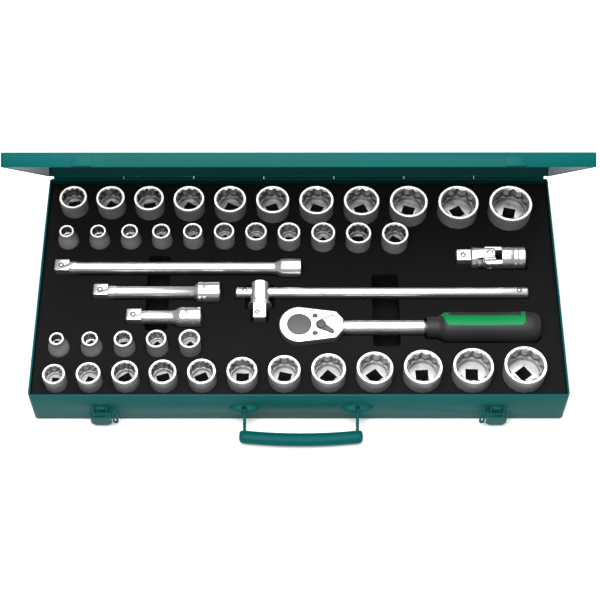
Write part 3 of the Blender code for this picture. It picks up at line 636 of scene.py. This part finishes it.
def prismFrom(name, outline, low, high):
    # One point drawn along the outline, filled, then drawn upwards
    pickNothing()
    bpy.ops.mesh.primitive_plane_add(size=0.001, location=(*outline[0], low))
    piece = settle(named(name))
    bpy.ops.object.mode_set(mode="EDIT")
    bpy.ops.mesh.select_mode(type="VERT")
    bpy.ops.mesh.select_all(action="SELECT")
    bpy.ops.mesh.merge(type="CENTER")
    for (x, y), (nextX, nextY) in zip(outline, outline[1:]):
        bpy.ops.mesh.extrude_vertices_move(TRANSFORM_OT_translate={"value": (nextX - x, nextY - y, 0)})
    bpy.ops.mesh.select_all(action="SELECT")
    bpy.ops.mesh.edge_face_add()
    bpy.ops.mesh.select_all(action="SELECT")
    bpy.ops.mesh.select_mode(type="FACE")
    bpy.ops.mesh.extrude_region_move(TRANSFORM_OT_translate={"value": (0, 0, high - low)})
    leaveEdit()
    return outward(piece)


def arcPoints(x, y, radius, start, end, steps):
    turns = [math.radians(start + (end - start) * i / steps) for i in range(steps + 1)]
    return [(x + radius * math.cos(t), y + radius * math.sin(t)) for t in turns]


def pearOutline(grow=0.0):
    look = ratchetLook
    nose = arcPoints(0, 0, look["head"] + grow, 80, 280, 40)
    shoulder, neck = look["shoulder"] + grow, look["shaft"] * 0.86 + grow
    x = look["shoulderX"]
    side = [
        (x - 0.0016, -shoulder), (x + 0.0012, -shoulder + 0.0006), (x + 0.0058, -neck - 0.0030),
        (x + 0.0085, -neck),
    ]
    return nose + side + [(px, -py) for px, py in reversed(side)]


def makeRatchetBody(node):
    look = ratchetLook
    top = look["top"]
    bottom = top - look["thickness"]
    head = prismFrom(node + "Body", pearOutline(), bottom, top)
    useModifier(
        head, "BEVEL", width=look["topBevel"], segments=3, limit_method="ANGLE", angle_limit=math.radians(60),
    )
    r = look["shaft"]
    end = look["shaftEnd"] - look["x"] - 0.0004
    shaft = turnedPiece("shaft", [
        (r * 0.80, 0.034), (r * 0.86, 0.0405), (r * 0.94, 0.0465), (r, 0.054),
        (r, end - 0.0006), (r - 0.0006, end),
    ], 64)
    alongX(shaft, 0, 0, 0)
    weld(head, shaft)
    tang = turnedPiece("tang", [(0.006, end - 0.002), (0.006, end + 0.106)], 24)
    alongX(tang, 0, 0, 0)
    weld(head, tang)
    disc = look["disc"] + 0.0005
    cutAway(head, turnedPiece("cutter", [(disc, bottom - 0.01), (disc, top + 0.01)], 64))
    fan = arcPoints(look["leverX"], 0, look["boss"] + 0.0006, 110, 250, 16)
    fan += arcPoints(look["leverX"], 0, look["reach"] + 0.0014, -44, 44, 16)
    cutAway(head, prismFrom("cutter", fan, top - look["recess"], top + 0.005))
    for side in (-1, 1):
        seat = turnedPiece("cutter", [(look["screw"], top - 0.0005), (look["screw"], top + 0.003)], 32)
        placed(seat, (look["screwX"], side * look["screwY"], 0))
        cutAway(head, seat)
    softEdges(head, 0.00022, 2, 40)
    placed(head, (look["x"], look["y"], toolAxis))
    finish(head, finishes["groundChrome"], "chrome", "ratchet", node)
    for side, tag in ((-1, "Front"), (1, "Back")):
        rim = look["screw"] - 0.0003
        profile = [(rim, top - 0.0005), (rim, top - 0.0001), (rim - 0.0005, top + 0.0002)]
        screw = turnedPiece("headScrew" + tag, profile, 32)
        star = turnedPiece("cutter", [(0.0011, top - 0.0004), (0.0011, top + 0.002)], 6)
        cutAway(screw, star)
        softEdges(screw, 0.0001, 1, 40)
        placed(screw, (look["x"] + look["screwX"], look["y"] + side * look["screwY"], toolAxis))
        finish(screw, finishes["blackenedSteel"], "dark_steel", "ratchet")


def makeDrive(node):
    look = ratchetLook
    top = look["top"] + 0.0004
    bottom = look["top"] - look["thickness"]
    r = look["disc"]
    piece = turnedPiece(node + "Body", [(r, bottom + 0.002), (r, top - 0.0004), (r - 0.0004, top)], 64)
    weld(piece, squareStub(bottom - squareLook["length"], bottom + 0.003, -1))
    softEdges(piece, 0.0002, 2, 40)
    placed(piece, (look["x"], look["y"], toolAxis))
    finish(piece, finishes["greyDisc"], "dark_steel", node, node)


def makeLever(node):
    look = ratchetLook
    top = look["top"]
    low = top - look["recess"] + 0.0003
    boss, reach = look["boss"], look["reach"]
    profile = [(boss, low), (boss, top + 0.0009), (boss - 0.0008, top + 0.0016)]
    piece = turnedPiece(node + "Body", profile, 48)
    half = [(0, 0.0026), (reach - 0.0006, 0.0019), (reach, 0.0013)]
    arm = [(x, -y) for x, y in half] + half[::-1]
    weld(piece, prismFrom("arm", arm, low, top + 0.0009))
    softEdges(piece, 0.00035, 2, 40)
    placed(piece, (0, 0, 0), (0, 0, -look["swing"] / 2))
    placed(piece, (look["x"] + look["leverX"], look["y"], toolAxis))
    finish(piece, finishes["blackenedSteel"], "dark_steel", node, node)


gripLook = {
    "radius": 0.0162, "bore": 0.0063, "endWall": 0.0085,
    "inlayFrom": 0.0165, "inlayTo": 0.0990, "inlayHalf": 0.0058, "inlayRise": 0.00018,
}


def gripProfile(grow=0.0):
    low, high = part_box("ratchet_grip")
    length = high[0] - low[0]
    r = gripLook["radius"]
    stations = [
        (0.640, 0.0010), (0.665, 0.0020), (0.680, 0.0115), (0.78, 0.0150), (0.925, 0.0185), (0.970, 0.0225),
        (0.960, 0.0350), (0.935, 0.0520), (0.945, 0.0700), (0.985, 0.0900), (1.0, length - 0.0150),
        (0.990, length - 0.0100), (0.945, length - 0.0055), (0.84, length - 0.0022), (0.68, length - 0.0006),
        (0.56, length),
    ]
    return [(k * r + grow, z) for k, z in stations]


def makeGrip(node):
    look = gripLook
    low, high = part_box(node)
    y = (low[1] + high[1]) / 2
    piece = turnedPiece(node + "Body", gripProfile(), 72)
    bore, boreEnd = look["bore"], high[0] - low[0] - look["endWall"]
    cutAway(piece, turnedPiece("cutter", [(bore, -0.01), (bore, boreEnd)], 32))
    smooth(piece, 40)
    alongX(piece, low[0], y, toolAxis)
    finish(piece, finishes["gripRubber"], "grip_rubber", "ratchet", node)

    inlay = turnedPiece("gripInlay", gripProfile(look["inlayRise"]), 72)
    core = turnedPiece("cutter", gripProfile(-0.0012), 72)
    cutAway(inlay, core)
    alongX(inlay, low[0], y, toolAxis)
    left, right = low[0] + look["inlayFrom"], low[0] + look["inlayTo"]
    half = look["inlayHalf"]
    wing = y + 0.0125  # its two ends run back round the grip
    outline = [
        (left + 0.0060, y - half), (right - 0.0030, y - half), (right, y - half + 0.0030),
        (right + 0.0008, wing), (right - 0.0028, wing), (right - 0.0040, y + half),
        (left + 0.0075, y + half), (left + 0.0020, wing), (left - 0.0026, wing),
        (left + 0.0030, y - half + 0.0030),
    ]
    shape = prismFrom("cutter", outline, toolAxis + 0.002, toolAxis + 0.03)
    combine(inlay, shape, "INTERSECT")
    smooth(inlay, 40)
    finish(inlay, finishes["greenInlay"], "grip_rubber", "ratchet")


makeRatchetBody("ratchet_body")
makeDrive("ratchet_drive")
makeLever("ratchet_lever")
makeGrip("ratchet_grip")
print("ratchet made")


# The universal joint

jointLook = {
    "left": 0.1632, "y": 0.0332, "centre": 0.0350, "length": 0.0716, "radius": 0.0117,
    "slot": 0.0124, "arm": 0.0116, "pin": 0.0026, "grooves": (0.0245, 0.0292),
}


def makeYoke(node, body, drive):
    look = jointLook
    r = look["radius"]
    left = -look["centre"]
    right = look["length"] - look["centre"]
    armEnd = look["arm"] / 2 - 0.0004
    if drive:
        start = left + squareLook["length"]
        profile = [
            (0.0060, start - 0.0002), (r - 0.0006, start + 0.0008), (r, start + 0.0016),
            (r, armEnd - 0.0012), (r - 0.0014, armEnd),
        ]
        piece = turnedPiece(node + "Body", profile, 64)
        weld(piece, squareStub(left, left + squareLook["length"] + 0.0006, -1))
        middle, span, across = (armEnd - 0.0095) / 2, armEnd + 0.0155, "Z"
    else:
        profile = [(r - 0.0014, -armEnd), (r, -armEnd + 0.0012), (r, right - 0.0006), (r - 0.0006, right)]
        piece = turnedPiece(node + "Body", profile, 64)
        for at in look["grooves"]:
            cutGroove(piece, r, at, 0.0010, 0.0005)
        cutSquareHole(piece, right, squareLook["jointHoleDepth"])
        middle, span, across = (0.0095 - armEnd) / 2, armEnd + 0.0155, "Y"
    alongX(piece, 0, 0, 0)
    big = 2.5 * r
    slot = (span, big, look["slot"]) if across == "Z" else (span, look["slot"], big)
    cutAway(piece, block("slot", slot, (middle, 0, 0)))
    for side in (-1, 1):
        offset = side * (look["arm"] / 2 + big / 2)
        if across == "Z":
            cutAway(piece, block("trim", (span, big, 2 * big), (middle, offset, 0)))
        else:
            cutAway(piece, block("trim", (span, 2 * big, big), (middle, 0, offset)))
    bore = turnedPiece("bore", [(look["pin"] + 0.0003, -0.03), (look["pin"] + 0.0003, 0.03)], 32)
    if across == "Y":
        placed(bore, (0, 0, 0), (90, 0, 0))
    cutAway(piece, bore)
    softEdges(piece, 0.0003, 2, 35)
    placed(piece, (look["left"] + look["centre"], look["y"], toolAxis))
    finish(piece, finishes["groundChrome"], "chrome", body, node)


def makeCross(node):
    look = jointLook
    core = look["slot"] - 0.0006
    piece = block(node + "Body", (core, core, core), (0, 0, 0))
    tip = look["radius"] - 0.0005
    radius, soft = look["pin"], 0.0005
    profile = [(radius - soft, -tip), (radius, soft - tip), (radius, tip - soft), (radius - soft, tip)]
    for turn in ((0, 0, 0), (90, 0, 0)):
        pin = turnedPiece("pin", profile, 32)
        placed(pin, (0, 0, 0), turn)
        weld(piece, pin)
    softEdges(piece, 0.0005, 2, 35)
    placed(piece, (look["left"] + look["centre"], look["y"], toolAxis))
    finish(piece, finishes["brightWire"], "bright_steel", "joint_cross", node)


makeYoke("joint_yoke_drive", "joint_yoke_drive", True)
makeYoke("joint_yoke_socket", "joint_yoke_socket", False)
makeCross("joint_cross")
ballX = jointLook["left"] + squareLook["ballAt"]
detent("jointDrive", ballX, jointLook["y"], toolAxis + driveHalf, "joint_yoke_drive")
print("universal joint made")


# The sheet-metal case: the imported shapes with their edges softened

def softCopy(node, body, material, slot, width):
    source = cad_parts[node]
    pickNothing()
    piece = bpy.data.objects.new(node + "Body", source.data.copy())
    bpy.context.scene.collection.objects.link(piece)
    onlyPick(piece)
    bpy.ops.object.mode_set(mode="EDIT")
    bpy.ops.mesh.select_all(action="SELECT")
    bpy.ops.mesh.remove_doubles(threshold=0.000008)
    bpy.ops.mesh.dissolve_limited(angle_limit=math.radians(1.5))
    leaveEdit()
    softEdges(piece, width, 2, 38)
    return finish(piece, material, slot, body, node)


paint = finishes["tealPaint"]
softCopy("case_tray", "case", paint, "teal_paint", 0.0003)
lid = softCopy("case_lid", "lid", paint, "teal_paint", 0.0003)
lid.visible_glossy = False  # its underside leans over the tools and would tint all the chrome
for side in ("left", "right"):
    softCopy("latch_lever_" + side, "latch_lever_" + side, paint, "teal_paint", 0.0004)
    softCopy("latch_link_" + side, "latch_link_" + side, paint, "teal_paint", 0.0003)

handleLook = {
    "x": 0.0022, "span": 0.1126, "pivotY": -0.1340, "pivotZ": 0.0240, "wire": 0.0016, "pinHalf": 0.0075,
    "reach": 0.0203, "drop": 0.0168, "bow": 0.0036, "tubeY": 0.0068, "tubeZ": 0.0056, "overhang": 0.0055,
}
gripEnds = [(1.0, 0.40), (0.994, 0.62), (0.982, 0.80), (0.965, 0.92), (0.935, 0.985), (0.88, 1.0)]


def makeHandle(node):
    look = handleLook
    half = look["span"] / 2
    longHalf = half + look["overhang"]
    stations = [(-u, k) for u, k in gripEnds] + [(u / 5, 1.0) for u in range(-3, 4)]
    stations += [(u, k) for u, k in reversed(gripEnds)]

    def spot(u):
        return Vector((u * longHalf, -look["reach"] - look["bow"] * (1 - u * u), -look["drop"]))

    pickNothing()
    bpy.ops.mesh.primitive_circle_add(
        vertices=28, radius=1, fill_type="NGON", rotation=(0, math.radians(90), 0)
    )
    piece = settle(named(node + "Body"))
    first, swell = stations[0]
    piece.scale = (1, look["tubeY"] * swell, look["tubeZ"] * swell)
    piece.location = spot(first)
    settle(piece)
    onlyPick(piece)
    bpy.ops.object.mode_set(mode="EDIT")
    bpy.ops.mesh.select_mode(type="FACE")
    bpy.ops.mesh.select_all(action="SELECT")
    last, lastSwell = spot(first), swell
    for u, k in stations[1:]:
        here = spot(u)
        bpy.ops.mesh.extrude_region_move(TRANSFORM_OT_translate={"value": here - last})
        bpy.ops.transform.resize(value=(1, k / lastSwell, k / lastSwell), center_override=here)
        last, lastSwell = here, k
    leaveEdit()
    outward(piece)
    slope = math.atan2(look["reach"], look["drop"])
    length = math.hypot(look["reach"], look["drop"])
    for x in (-half, half):
        leg = turnedPiece("leg", [(look["wire"], 0), (look["wire"], length)], 20)
        placed(leg, (0, 0, 0), (180 - math.degrees(slope), 0, 0))
        placed(leg, (x, 0, 0))
        weld(piece, leg)
        pin = turnedPiece("pin", [(look["wire"], -look["pinHalf"]), (look["wire"], look["pinHalf"])], 20)
        alongX(pin, x, 0, 0)
        weld(piece, pin)
    softEdges(piece, 0.0003, 2, 40)
    placed(piece, (look["x"], look["pivotY"], look["pivotZ"]))
    finish(piece, paint, "teal_paint", "handle", node)


makeHandle("carry_handle")


def dressNode(node, material):
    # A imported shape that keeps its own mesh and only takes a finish.
    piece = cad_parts[node]
    piece.data.materials.clear()
    piece.data.materials.append(material)


dressNode("foam_insert", finishes["blackFoam"])
dressNode("hinge_pin", finishes["brightWire"])
print("case made")


# Light, floor and camera

studioLights = [
    # name, place, tilt, width, power
    ("keyLight", (-0.10, -0.35, 1.55), (13, -4, 0), 1.3, 42),
    ("topLight", (0.10, 0.75, 1.50), (-27, 3, 0), 1.4, 20),
]


def setStage():
    world = bpy.data.worlds.new("studio")
    bpy.context.scene.world = world
    world.use_nodes = True
    world.node_tree.nodes["Background"].inputs["Color"].default_value = (1, 1, 1, 1)
    world.node_tree.nodes["Background"].inputs["Strength"].default_value = 0.45
    pickNothing()
    bpy.ops.mesh.primitive_plane_add(size=6, location=(0, 0, -0.0002))
    floor = named("floor")
    pale = bpy.data.materials.new("floorPale")
    pale.use_nodes = True
    pale.node_tree.nodes["Principled BSDF"].inputs["Base Color"].default_value = (0.95, 0.95, 0.95, 1)
    pale.node_tree.nodes["Principled BSDF"].inputs["Roughness"].default_value = 0.9
    floor.data.materials.append(pale)
    for name, spot, tilt, size, power in studioLights:
        bpy.ops.object.light_add(type="AREA", location=spot, rotation=[math.radians(a) for a in tilt])
        light = bpy.context.active_object
        light.name = name
        light.data.size = size
        light.data.energy = power
    bpy.ops.object.camera_add(
        location=(0.0009, -0.8279, 1.3838), rotation=(math.radians(31.175), 0, math.radians(-0.024))
    )
    camera = bpy.context.active_object
    camera.data.sensor_width = 36
    camera.data.lens = 91.75
    bpy.context.scene.camera = camera
    bpy.context.scene.view_settings.view_transform = "Standard"


setStage()
